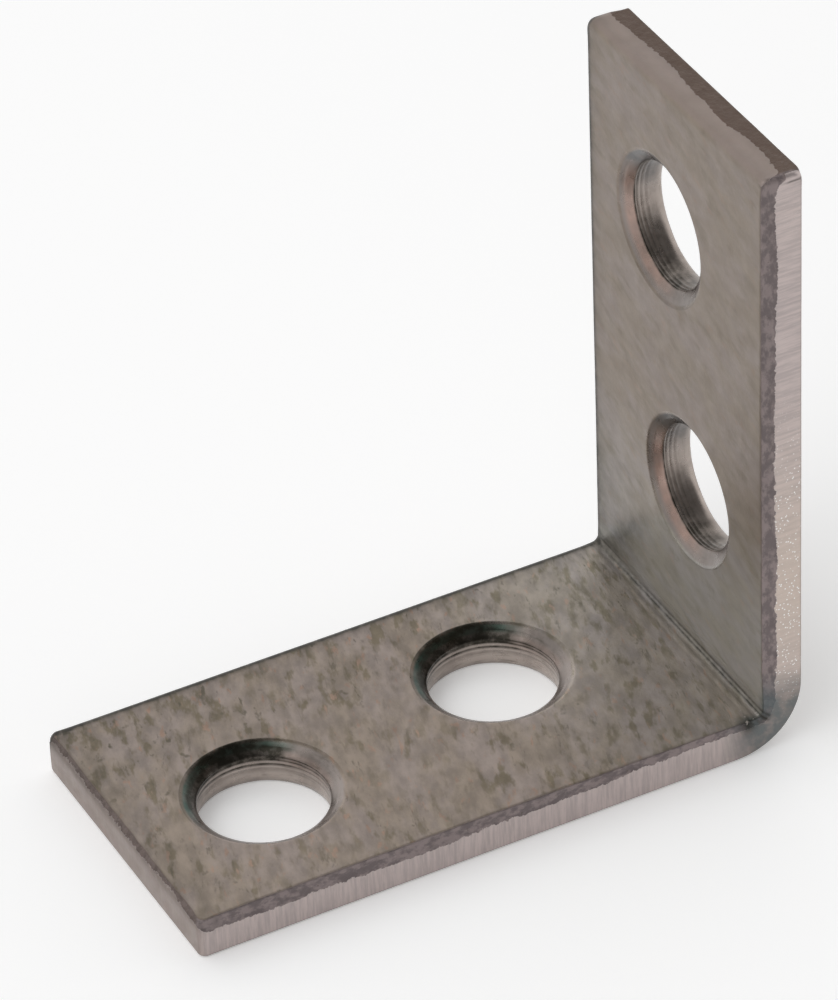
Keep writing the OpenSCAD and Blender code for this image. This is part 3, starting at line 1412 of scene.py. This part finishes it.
@dataclass(frozen=True)
class Mottle(SharedGroup):
    """Zinc passivation that varies in tone over the surface.

    A ground colour turns to lilac in broad patches, and to olive and pink in short strokes that
    are longer across the strip than along it. The olive strokes crowd in places. A finer
    pattern makes it all lighter and darker. The patina scales everything but the lilac.
    """

    name: str = "Mottle"
    inputs: tuple[tuple[str, str], ...] = (
        ("Place", VECTOR), ("Patina", VALUE),
        ("Ground", COLOUR), ("Olive", COLOUR), ("Pink", COLOUR), ("Lilac", COLOUR),
    )
    result: str = "Colour"
    result_kind: str = COLOUR
    lilac: Pattern = Pattern(0.60, 4, 0.66, 0.0, (1.0, 2.4, 1.0), LEAN, (0.40, 0.62))
    olive: Pattern = Pattern(2.3, 3, 0.55, 0.0, STROKE, LEAN, (0.50, 0.66))
    crowd: Pattern = Pattern(0.45, 3, 0.6, edges=(0.36, 0.62), low=0.35)
    pink: Pattern = Pattern(3.1, 3, 0.55, 0.3, STROKE, LEAN, (0.60, 0.70))
    fine: Pattern = Pattern(1.9, 4, 0.60, 0.0, (1.0, 2.2, 1.0), LEAN, (0.28, 0.72))
    lilac_share: float = 0.8
    pink_share: float = 0.8
    contrast: float = 0.38

    def wire(self, wires: Wiring, given: bpy.types.NodeOutputs) -> Socket:
        """Wires the colour.

        Args:
            wires: the group's wiring.
            given: the group's inputs.

        Returns:
            The colour's socket.
        """
        place, patina = given["Place"], given["Patina"]
        lilac = wires.times(wires.pattern(self.lilac, place), self.lilac_share)
        crowd = wires.pattern(self.crowd, place)
        olive = wires.times(wires.pattern(self.olive, place), crowd, patina)
        pink = wires.times(wires.pattern(self.pink, place), patina, self.pink_share)
        colour = wires.mix(lilac, given["Ground"], given["Lilac"])
        colour = wires.mix(olive, colour, given["Olive"])
        colour = wires.mix(pink, colour, given["Pink"])
        swing = wires.math("SUBTRACT", wires.pattern(self.fine, place), 0.5)
        shade = wires.plus(wires.times(swing, patina, self.contrast), 1.0)
        grey = wires.add("CombineColor", {0: shade, 1: shade, 2: shade}).outputs[0]
        return wires.mix(1.0, colour, grey, "MULTIPLY")


@dataclass(frozen=True)
class Specks(SharedGroup):
    """Small dark specks, and short streaks across the strip. Both crowd in places."""

    name: str = "Specks"
    inputs: tuple[tuple[str, str], ...] = (("Place", VECTOR), ("Patina", VALUE))
    result: str = "Mask"
    result_kind: str = VALUE
    dots: Pattern = Pattern(2.6, 2, 0.5, 0.0, (1.0, 1.6, 1.0), LEAN, (0.64, 0.76))
    streaks: Pattern = Pattern(3.0, 4, 0.62, 0.3, (1.0, 3.6, 1.0), LEAN, (0.58, 0.68))
    crowd: Pattern = Pattern(0.42, 3, 0.6, edges=(0.40, 0.62), low=0.2)
    streak_share: float = 0.8

    def wire(self, wires: Wiring, given: bpy.types.NodeOutputs) -> Socket:
        """Wires the mask.

        Args:
            wires: the group's wiring.
            given: the group's inputs.

        Returns:
            The mask's socket.
        """
        place = given["Place"]
        streaks = wires.times(wires.pattern(self.streaks, place), self.streak_share)
        mask = wires.math("MAXIMUM", wires.pattern(self.dots, place), streaks)
        patina = wires.ramp(given["Patina"], 0.2, 1.6, 0.0, 1.7)
        return wires.times(mask, wires.pattern(self.crowd, place), patina)


@dataclass(frozen=True)
class Soil(SharedGroup):
    """Grime and painted shade laid unevenly over a colour, as far as darkest."""

    name: str = "Soil"
    inputs: tuple[tuple[str, str], ...] = (
        ("Place", VECTOR), ("Amount", VALUE), ("Colour", COLOUR), ("ShadeAndGrime", COLOUR),
    )
    result: str = "Colour"
    result_kind: str = COLOUR
    smudge: Pattern = Pattern(2.4, 4, 0.6, edges=(0.3, 0.7), low=0.76, high=1.10)
    darkest: float = 0.97

    def wire(self, wires: Wiring, given: bpy.types.NodeOutputs) -> Socket:
        """Wires the colour: the amount times the pattern is the share of grime.

        Args:
            wires: the group's wiring.
            given: the group's inputs.

        Returns:
            The colour's socket.
        """
        share = wires.times(given["Amount"], wires.pattern(self.smudge, given["Place"]))
        share = wires.math("MINIMUM", share, self.darkest)
        return wires.mix(share, given["Colour"], given["ShadeAndGrime"])


@dataclass(frozen=True)
class Crumbs(SharedGroup):
    """Small pale crumbs of plating laid over a colour. Place is in space, in millimetres."""

    name: str = "Crumbs"
    inputs: tuple[tuple[str, str], ...] = (
        ("Place", VECTOR), ("Amount", VALUE), ("Colour", COLOUR), ("Crumb", COLOUR),
    )
    result: str = "Colour"
    result_kind: str = COLOUR
    crumbs: Pattern = Pattern(4.5, 2, 0.5, edges=(0.64, 0.68))

    def wire(self, wires: Wiring, given: bpy.types.NodeOutputs) -> Socket:
        """Wires the colour: the pattern times the amount is the share of crumbs."""
        share = wires.times(wires.pattern(self.crumbs, given["Place"]), given["Amount"])
        return wires.mix(share, given["Colour"], given["Crumb"])


@dataclass(frozen=True)
class Drift(SharedGroup):
    """Roughness that drifts over the surface between a low and a high value."""

    name: str = "Drift"
    inputs: tuple[tuple[str, str], ...] = (("Place", VECTOR), ("Low", VALUE), ("High", VALUE))
    result: str = "Roughness"
    result_kind: str = VALUE
    drift: Pattern = Pattern(1.3, 4, 0.6)

    def wire(self, wires: Wiring, given: bpy.types.NodeOutputs) -> Socket:
        """Wires the roughness, which the pattern carries from low to high."""
        drift = wires.pattern(self.drift, given["Place"])
        return wires.ramp(drift, 0.3, 0.7, given["Low"], given["High"])


@dataclass(frozen=True)
class FineGrain(SharedGroup):
    """Fine unevenness of the plating's surface, in units of a finish's height_unit."""

    name: str = "Fine grain"
    inputs: tuple[tuple[str, str], ...] = (("Place", VECTOR),)
    result: str = "Height"
    result_kind: str = VALUE
    grain: Pattern = Pattern(8.0, 3, 0.6)
    height: float = 0.35

    def wire(self, wires: Wiring, given: bpy.types.NodeOutputs) -> Socket:
        """Wires the height."""
        return wires.times(wires.pattern(self.grain, given["Place"]), self.height)


@dataclass(frozen=True)
class Plating:
    """A zinc finish. Colours are linear, and height_unit is in metres."""

    name: str
    ground: Rgb = (0.256, 0.208, 0.167)
    olive: Rgb = (0.165, 0.133, 0.090)
    pink: Rgb = (0.300, 0.200, 0.148)
    lilac: Rgb = (0.278, 0.230, 0.206)
    dark: Rgb = (0.095, 0.079, 0.053)
    # the next tone is painted light: it makes the faces lighter and greyer where the grey mark
    # says, offsetting their darker reflections by the crease
    painted_light_lift: Rgb = (1.47, 1.70, 1.86)
    # the darkest tone of grime and painted shade
    grime_and_shade_tone: Rgb = (0.020, 0.018, 0.012)
    crumb: Rgb = (0.60, 0.55, 0.50)
    swell: Pattern = Pattern(2.0, 2, 0.5)
    speck: float = 0.75
    roughness: float = 0.40
    rough_spread: float = 0.06
    metallic: float = 0.55
    height_unit: float = 10e-6

    def face_colour(self, wires: Wiring, place: Socket) -> tuple[Socket, Socket]:
        """Wires the mottled and specked ground that every finish starts from.

        Args:
            wires: the material's wiring.
            place: socket of a place on the blank.

        Returns:
            Sockets of the colour and of the speck mask.
        """
        given = {"Place": place, "Patina": wires.mark("patina")}
        tones = {"Ground": self.ground, "Olive": self.olive, "Pink": self.pink, "Lilac": self.lilac}
        colour = Mottle().use(wires, given | tones)
        mask = wires.times(Specks().use(wires, given), self.speck)
        colour = wires.mix(mask, colour, self.dark)
        # painted light: lighter and greyer where the grey mark says
        return wires.mix(wires.mark("grey"), colour, self.painted_light_lift, "MULTIPLY"), mask

    def grimed_and_shaded(self, wires: Wiring, place: Socket, colour: Socket) -> Socket:
        """Darkens a colour unevenly with grime and painted shade, where that mark says."""
        given = {"Place": place, "Amount": wires.mark("soil")}
        return Soil().use(wires, given | {"Colour": colour, "ShadeAndGrime": self.grime_and_shade_tone})

    def crumbed(self, wires: Wiring, colour: Socket) -> Socket:
        """Lays small pale crumbs over a colour where the crumb mark says.

        Args:
            wires: the material's wiring.
            colour: the colour's socket.

        Returns:
            The new colour's socket.
        """
        inputs = {0: wires.add("TexCoord").outputs["Object"], 3: 1 / MM}
        place = wires.add("VectorMath", inputs, operation="SCALE").outputs[0]
        given = {"Place": place, "Amount": wires.mark("crumb")}
        return Crumbs().use(wires, given | {"Colour": colour, "Crumb": self.crumb})

    def rough(self, wires: Wiring, place: Socket) -> Socket:
        """Roughness that drifts over the surface."""
        low, high = self.roughness - self.rough_spread, self.roughness + self.rough_spread
        return Drift().use(wires, {"Place": place, "Low": low, "High": high})

    def dress(self, wires: Wiring, place: Socket) -> dict[str, Socket]:
        """Wires this finish's own look.

        Args:
            wires: the material's wiring.
            place: socket of a place on the blank.

        Returns:
            Sockets of "colour", "rough" and "height", the last in units of height_unit.
        """
        colour, mask = self.face_colour(wires, place)
        height = wires.plus(
            FineGrain().use(wires, {"Place": place}),
            wires.times(wires.pattern(self.swell, place), 0.8),
        )
        height = wires.math("SUBTRACT", height, wires.times(mask, 0.5))
        colour = self.crumbed(wires, self.grimed_and_shaded(wires, place, colour))
        return {"colour": colour, "rough": self.rough(wires, place), "height": height}

    def make(self) -> bpy.types.Material:
        """Makes the material: this look on a Principled shader, with its height as a bump.

        Returns:
            The material.
        """
        material = bpy.data.materials.new(self.name)
        material.use_nodes = True
        wires = Wiring(material.node_tree)
        place = wires.add("Attribute", attribute_name="blank").outputs["Vector"]
        look = self.dress(wires, place)
        inputs = {"Strength": 1.0, "Distance": self.height_unit, "Height": look["height"]}
        normal = wires.add("Bump", inputs).outputs[0]
        inputs = {"Base Color": look["colour"], "Roughness": look["rough"]}
        inputs |= {"Metallic": self.metallic, "Normal": normal}
        shader = wires.add("BsdfPrincipled", inputs)
        wires.add("OutputMaterial", {"Surface": shader.outputs[0]})
        return material


@dataclass(frozen=True)
class CutPlating(Plating):
    """The blanked edge: torn, sheared and rolled bands told apart by the mesh's marks.

    An edge with a bare mark has a lilac torn band and a bright sheared one. An edge without it
    has a brown torn band, and the faces' tone beside it.
    """

    torn: Rgb = (0.285, 0.233, 0.228)
    torn_dark: Rgb = (0.172, 0.141, 0.141)
    sheared: Rgb = (0.60, 0.510, 0.490)
    sheared_dull: Rgb = (0.46, 0.395, 0.385)
    lip: Rgb = (0.55, 0.48, 0.46)
    # the warmer tone and the white spark are painted glints on the sheared band
    warmed: Rgb = (0.70, 0.585, 0.490)
    spark: Rgb = (1.0, 1.0, 1.0)
    blued: Rgb = (0.098, 0.132, 0.140)
    brown: Rgb = (0.116, 0.073, 0.053)
    plain: Rgb = (0.262, 0.208, 0.186)
    fray: Pattern = Pattern(4.5, 3, 0.65)
    fray_width: float = 0.30
    lines: Pattern = Pattern(8.0, 4, 0.7, stretch=(1.0, 1.0, 14.0))
    scuffs: Pattern = Pattern(1.1, 3, 0.55, edges=(0.45, 0.75), high=0.4)
    crowd: Pattern = Pattern(0.9, 2, 0.5, edges=(0.32, 0.46))
    blotches: Pattern = Pattern(3.4, 4, 0.65, stretch=(1.8, 1.0, 1.0), edges=(0.40, 0.60))
    pits: Pattern = Pattern(4.4, 3, 0.6, edges=(0.66, 0.74), high=0.55)
    blueing: Pattern = Pattern(0.9, 3, 0.6, edges=(0.35, 0.6), low=0.3)
    tears: Pattern = Pattern(6.0, 4, 0.68)
    sparks: float = 7.5

    def sheared_colour(self, wires: Wiring, place: Socket, lines: Socket) -> Socket:
        """Wires the sheared band: lines through the sheet, scuffs, and painted glints, a warmer
        brighter tone and white sparks, where the glint mark says.

        Args:
            wires: the material's wiring.
            place: socket of a place on the blank.
            lines: socket of the lines' pattern.

        Returns:
            The colour's socket.
        """
        colour = wires.mix(wires.ramp(lines, 0.36, 0.66), self.sheared, self.sheared_dull)
        colour = wires.mix(wires.pattern(self.scuffs, place), colour, self.sheared_dull)
        # painted glints: a warmer, brighter tone and white sparks where the glint mark says
        glint = wires.mark("glint")
        colour = wires.mix(wires.times(glint, 0.6), colour, self.warmed)
        cells = wires.add("TexVoronoi", {"Vector": place, "Scale": self.sparks}).outputs["Distance"]
        dots = wires.ramp(cells, 0.19, 0.25, 1.0, 0.0)
        share = wires.times(dots, wires.pattern(self.crowd, place), wires.ramp(glint, 0.0, 0.6))
        return wires.mix(share, colour, self.spark)

    def torn_colour(self, wires: Wiring, place: Socket, lilac: Socket) -> Socket:
        """Wires the torn band: blotched and pitted where lilac is 1, and brown where it is 0.

        Args:
            wires: the material's wiring.
            place: socket of a place on the blank.
            lilac: socket of the share.

        Returns:
            The colour's socket.
        """
        colour = wires.mix(wires.pattern(self.blotches, place), self.torn, self.torn_dark)
        colour = wires.mix(wires.pattern(self.pits, place), colour, self.dark)
        return wires.mix(lilac, self.brown, colour)

    def dress(self, wires: Wiring, place: Socket) -> dict[str, Socket]:
        """Wires the bands. Fine noise frays the limit between torn and sheared.

        Args:
            wires: the material's wiring.
            place: socket of a place on the blank.

        Returns:
            Sockets of "colour", "rough" and "height".
        """
        marks = {name: wires.mark(name) for name in ("cut", "torn", "bare", "blued")}
        face, _ = self.face_colour(wires, place)
        face = wires.mix(wires.ramp(marks["torn"], 0.0, 0.4, 0.0, 0.7), face, self.plain)
        fray = wires.math("SUBTRACT", wires.pattern(self.fray, place), 0.5)
        past = wires.plus(marks["cut"], wires.times(fray, self.fray_width))
        sheared = wires.ramp(past, -0.010, 0.010)
        bare = wires.times(marks["bare"], sheared)
        torn = wires.times(marks["torn"], wires.math("SUBTRACT", 1.0, sheared))
        lilac = wires.ramp(marks["bare"], 0.0, 0.3)
        lines = wires.pattern(self.lines, place)
        colour = wires.mix(bare, face, self.sheared_colour(wires, place, lines))
        colour = wires.mix(torn, colour, self.torn_colour(wires, place, lilac))
        off = wires.math("ABSOLUTE", wires.math("SUBTRACT", past, 0.012))
        lip = wires.times(wires.ramp(off, 0.0, 0.026, 0.6, 0.0), marks["torn"], lilac)
        colour = wires.mix(lip, colour, self.lip)
        blue = wires.times(marks["blued"], wires.pattern(self.blueing, place), 0.75)
        colour = wires.mix(blue, colour, self.blued)
        height = wires.plus(
            wires.times(torn, wires.pattern(self.tears, place), 3.2),
            wires.times(lines, bare, 1.4),
            FineGrain().use(wires, {"Place": place}),
        )
        rough = wires.plus(self.rough(wires, place), wires.times(torn, 0.1))
        colour = self.crumbed(wires, self.grimed_and_shaded(wires, place, colour))
        return {"colour": colour, "rough": rough, "height": height}


@dataclass(frozen=True)
class BorePlating(Plating):
    """The punched wall and countersink. upright is the stations over which the leg changes."""

    cone: Rgb = (0.300, 0.260, 0.240)
    bore: Rgb = (0.47, 0.405, 0.365)
    # teal and steel are the painted cool reflection in each leg's holes, and rose the painted warm
    # highlight
    teal: Rgb = (0.050, 0.130, 0.105)
    steel: Rgb = (0.135, 0.137, 0.140)
    rose: Rgb = (0.52, 0.34, 0.28)
    rings: Pattern = Pattern(6.0, 3, 0.6, stretch=(4.0, 4.0, 0.5))
    patches: Pattern = Pattern(1.1, 4, 0.62, edges=(0.42, 0.68), high=0.45)
    light_patches: Pattern = Pattern(1.8, 4, 0.6, edges=(0.3, 0.7), low=0.55)
    upright: tuple[float, float] = (20.0, 28.0)

    def dress(self, wires: Wiring, place: Socket) -> dict[str, Socket]:
        """Wires rings that vary with depth and hardly with angle, and each leg's own painted cool
        reflection and warm highlight.

        Args:
            wires: the material's wiring.
            place: socket of a place on the blank.

        Returns:
            Sockets of "colour", "rough" and "height".
        """
        station, _, depth = wires.add("SeparateXYZ", {0: place}).outputs
        face, _ = self.face_colour(wires, place)
        colour = wires.mix(wires.ramp(depth, 1.22, 1.30), self.bore, self.cone)
        colour = wires.mix(wires.pattern(self.patches, place), colour, self.lilac)
        uneven = wires.pattern(self.light_patches, place)
        # painted warm highlight and painted cool reflection on the sides of the wall that the
        # patches give
        colour = wires.mix(wires.times(wires.mark("warm"), uneven, 0.7), colour, self.rose)
        cool = wires.mix(wires.ramp(station, *self.upright), self.teal, self.steel)
        colour = wires.mix(wires.times(wires.mark("cool"), uneven), colour, cool)
        fainter = wires.ramp(station, *self.upright, 1.0, 0.45)
        rings = wires.pattern(self.rings, place)
        lines = wires.times(wires.ramp(rings, 0.52, 0.75, 0.0, 0.4), fainter)
        colour = wires.mix(lines, colour, self.dark)
        colour = wires.mix(wires.ramp(depth, 1.56, 1.63), colour, face)
        return {
            "colour": self.grimed_and_shaded(wires, place, colour),
            "rough": self.rough(wires, place),
            "height": wires.times(rings, fainter, 0.35),
        }


FINISHES: dict[Finish, Plating] = {
    Finish.FACE: Plating("Zinc face"),
    Finish.CUT: CutPlating("Blanked zinc edge"),
    Finish.BORE: BorePlating("Punched zinc", roughness=0.30, metallic=0.8),
}


# ---------------------------------------------------------------- studio


@dataclass(frozen=True)
class Lamp:
    """One square soft lamp that faces the bracket. Lengths in metres.

    glow is the radiance of its face, so its power is glow * pi * size^2.
    """

    name: str
    place: tuple[float, float, float]
    size: float
    glow: float

    @property
    def power(self) -> float:
        """Power in watts."""
        return self.glow * math.pi * self.size**2


@dataclass(frozen=True)
class Studio:
    """Plain floor, soft light all round, and the camera. Lengths in metres.

    The surroundings are pale, brighter on the side away from the camera, with a dim opening
    above.
    """

    floor_half: float = 1.5
    floor_gap: float = 1e-5
    floor_tone: float = 0.93
    floor_glow: float = 0.25
    around: tuple[float, float] = (0.80, 1.12)
    around_towards: tuple[float, float, float] = (-0.60, -0.80, 0.0)
    around_edges: tuple[float, float] = (-0.7, 0.4)
    dim: float = 0.10
    dim_towards: tuple[float, float, float] = (-0.20, 0.45, 0.87)
    dim_edges: tuple[float, float] = (0.55, 0.88)
    lamps: tuple[Lamp, ...] = (
        Lamp("key", (0.42, 0.14, 0.78), 0.60, 1.3),
    )
    lens: float = 241.3
    distance: float = 0.2421
    azimuth: float = 153.28
    elevation: float = 36.79
    roll: float = -2.36
    aim: tuple[float, float, float] = (0.012, 0.0, 0.012)
    slide: tuple[float, float] = (-0.000278, -0.000394)
    sensor: float = 36.0
    clip: tuple[float, float] = (0.01, 20.0)

    def floor(self) -> None:
        """Lays a pale floor just under the bracket.

        It glows a little for the camera and for gloss, and so it reads as white there.
        """
        h, z = self.floor_half, -self.floor_gap
        mesh = bpy.data.meshes.new("floor")
        mesh.from_pydata([(-h, -h, z), (h, -h, z), (h, h, z), (-h, h, z)], [], [(0, 1, 2, 3)])
        made = bpy.data.objects.new("floor", mesh)
        bpy.context.scene.collection.objects.link(made)
        material = bpy.data.materials.new("Paper")
        material.use_nodes = True
        wires = Wiring(material.node_tree)
        tone = self.floor_tone
        sheet = wires.add("BsdfDiffuse", {"Color": (tone, tone, tone)})
        ray = wires.add("LightPath").outputs
        seen = wires.math("MAXIMUM", ray["Is Camera Ray"], ray["Is Glossy Ray"])
        seen = wires.math("MAXIMUM", seen, ray["Is Transmission Ray"])
        glow = wires.add("Emission", {"Strength": wires.times(seen, self.floor_glow)})
        both = wires.add("AddShader", {0: sheet.outputs[0], 1: glow.outputs[0]})
        wires.add("OutputMaterial", {"Surface": both.outputs[0]})
        mesh.materials.append(material)

    def world(self) -> None:
        """Sets a pale light all round, brighter on one side and dim towards one direction."""
        world = bpy.data.worlds.new("Studio")
        world.use_nodes = True
        wires = Wiring(world.node_tree)
        way = wires.add("TexCoord").outputs["Generated"]
        axes = (Vector(self.around_towards), Vector(self.dim_towards).normalized())
        bright, near = (
            wires.add("VectorMath", {0: way, 1: axis}, operation="DOT_PRODUCT").outputs["Value"]
            for axis in axes
        )
        pale = wires.ramp(bright, *self.around_edges, *self.around)
        strength = wires.times(pale, wires.ramp(near, *self.dim_edges, 1.0, self.dim))
        light = wires.add("Background", {"Color": (1.0, 1.0, 1.0), "Strength": strength})
        wires.add("OutputWorld", {"Surface": light.outputs[0]})
        bpy.context.scene.world = world

    def lamp(self, lamp: Lamp) -> None:
        """Hangs one lamp and turns it to the bracket.

        Args:
            lamp: the lamp.
        """
        light = bpy.data.lights.new(lamp.name, "AREA")
        light.size, light.energy = lamp.size, lamp.power
        made = bpy.data.objects.new(lamp.name, light)
        made.location = lamp.place
        made.rotation_mode = "QUATERNION"
        made.rotation_quaternion = (Vector(lamp.place) - Vector(self.aim)).to_track_quat("Z", "Y")
        bpy.context.scene.collection.objects.link(made)

    def camera(self) -> None:
        """Places the camera and rolls it about its own axis."""
        a, e, r = (math.radians(v) for v in (self.azimuth, self.elevation, self.roll))
        back = Vector((math.sin(a) * math.cos(e), -math.cos(a) * math.cos(e), math.sin(e)))
        right = Vector((0, 0, 1)).cross(back).normalized()
        up = back.cross(right)
        side = right * math.cos(r) + up * math.sin(r)
        top = up * math.cos(r) - right * math.sin(r)
        view = bpy.data.cameras.new("Camera")
        view.lens, view.sensor_width = self.lens, self.sensor
        view.clip_start, view.clip_end = self.clip
        made = bpy.data.objects.new("Camera", view)
        turn = Matrix((side, top, back)).transposed().to_4x4()
        made.matrix_world = turn
        made.location = Vector(self.aim) + back * self.distance
        made.location += side * self.slide[0] + top * self.slide[1]
        bpy.context.scene.collection.objects.link(made)
        bpy.context.scene.camera = made

    def set_up(self) -> None:
        """Builds the whole studio."""
        self.floor()
        self.world()
        for lamp in self.lamps:
            self.lamp(lamp)
        self.camera()
        bpy.context.scene.view_settings.view_transform = "Standard"


def holes_of(record: dict[str, Any], strip: Strip) -> list[ScrewHole]:
    """Turns the record's bores into holes of the flat blank.

    A bore along Z is in the base leg, and one along X in the upright leg.

    Args:
        record: the part's record.
        strip: the strip that the holes are in.

    Returns:
        The holes, in the stations' order.
    """
    holes: list[ScrewHole] = []
    for mount in record["mounts"]:
        if mount["kind"] != "bore":
            continue
        x, y, z = (v / MM for v in mount["pos_m"])
        base = abs(mount["axis"][2]) > 0.5
        station = strip.base_leg - x if base else strip.length - (strip.upright_leg - z)
        light_patches, ringed = (BASE_PAINTED_LIGHT, 1.0) if base else (UPRIGHT_PAINTED_LIGHT, 0.35)
        holes.append(ScrewHole(station, y, mount["dims"]["r_mm"], len(holes), light_patches, ringed))
    return sorted(holes, key=lambda hole: hole.station)


def main() -> None:
    """Builds the bracket and its studio."""
    logging.basicConfig(level=logging.INFO, format="%(name)s: %(message)s")
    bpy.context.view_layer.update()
    low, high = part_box(CAD_NODE)
    strip = Strip(high.x / MM, high.z / MM, (high.y - low.y) / MM)
    bracket = Bracket(strip, holes_of(frame["record"], strip)).build("bracket_plated")
    for finish in Finish:
        bracket.data.materials.append(FINISHES[finish].make())
    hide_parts(CAD_NODE)
    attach(bracket, "root")
    Studio().set_up()


if __name__ == "__main__":
    main()
